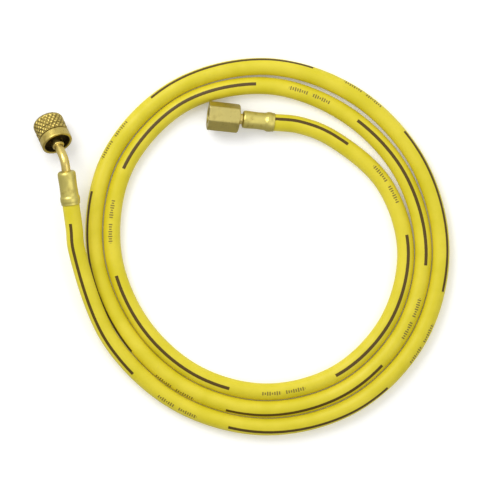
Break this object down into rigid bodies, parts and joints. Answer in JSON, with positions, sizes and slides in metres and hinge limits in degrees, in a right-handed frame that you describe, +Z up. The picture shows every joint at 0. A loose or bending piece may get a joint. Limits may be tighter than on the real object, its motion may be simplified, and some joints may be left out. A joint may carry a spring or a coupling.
{
  "type": "refrigerant charging hose",
  "caption": "Flexible refrigerant charging hose in a flat coil, with crimped brass ferrules, a bent end with a knurled swivel nut and a straight end with a hex swivel nut.",
  "frame": {"origin": "the middle of the footprint, on the floor that the coil lies on", "axes": "+Z up, +X along the longer side of the footprint, away from the bent fitting, and +Y towards the side that both nuts are on"},
  "size_m": [0.2542, 0.2308, 0.0283],
  "materials": {
    "hose": "satin",
    "ferrule_brass": "satin",
    "tube_brass": "polished",
    "nut_brass": "satin",
    "gasket_rubber": "matte"
  },
  "bodies": {
    "hose_and_stems": {"hose": "hose", "ferrule_bent_end": "ferrule_brass", "bent_tube": "tube_brass", "gasket_bent_end": "gasket_rubber", "ferrule_straight_end": "ferrule_brass", "straight_stem": "tube_brass", "gasket_straight_end": "gasket_rubber"},
    "knurled_nut": {"knurled_nut": "nut_brass"},
    "hex_nut": {"hex_nut": "nut_brass"}
  },
  "joints": [
    {"name": "knurled_nut_swivel", "type": "hinge", "parent": "hose_and_stems", "child": "knurled_nut", "pos_m": [-0.11238, 0.0629, 0.01731], "axis": [-0.3496, 0.7596, -0.5485], "continuous": true},
    {"name": "hex_nut_swivel", "type": "hinge", "parent": "hose_and_stems", "child": "hex_nut", "pos_m": [-0.00129, 0.07823, 0.00956], "axis": [-0.9883, 0.1056, 0.1097], "continuous": true}
  ]
}
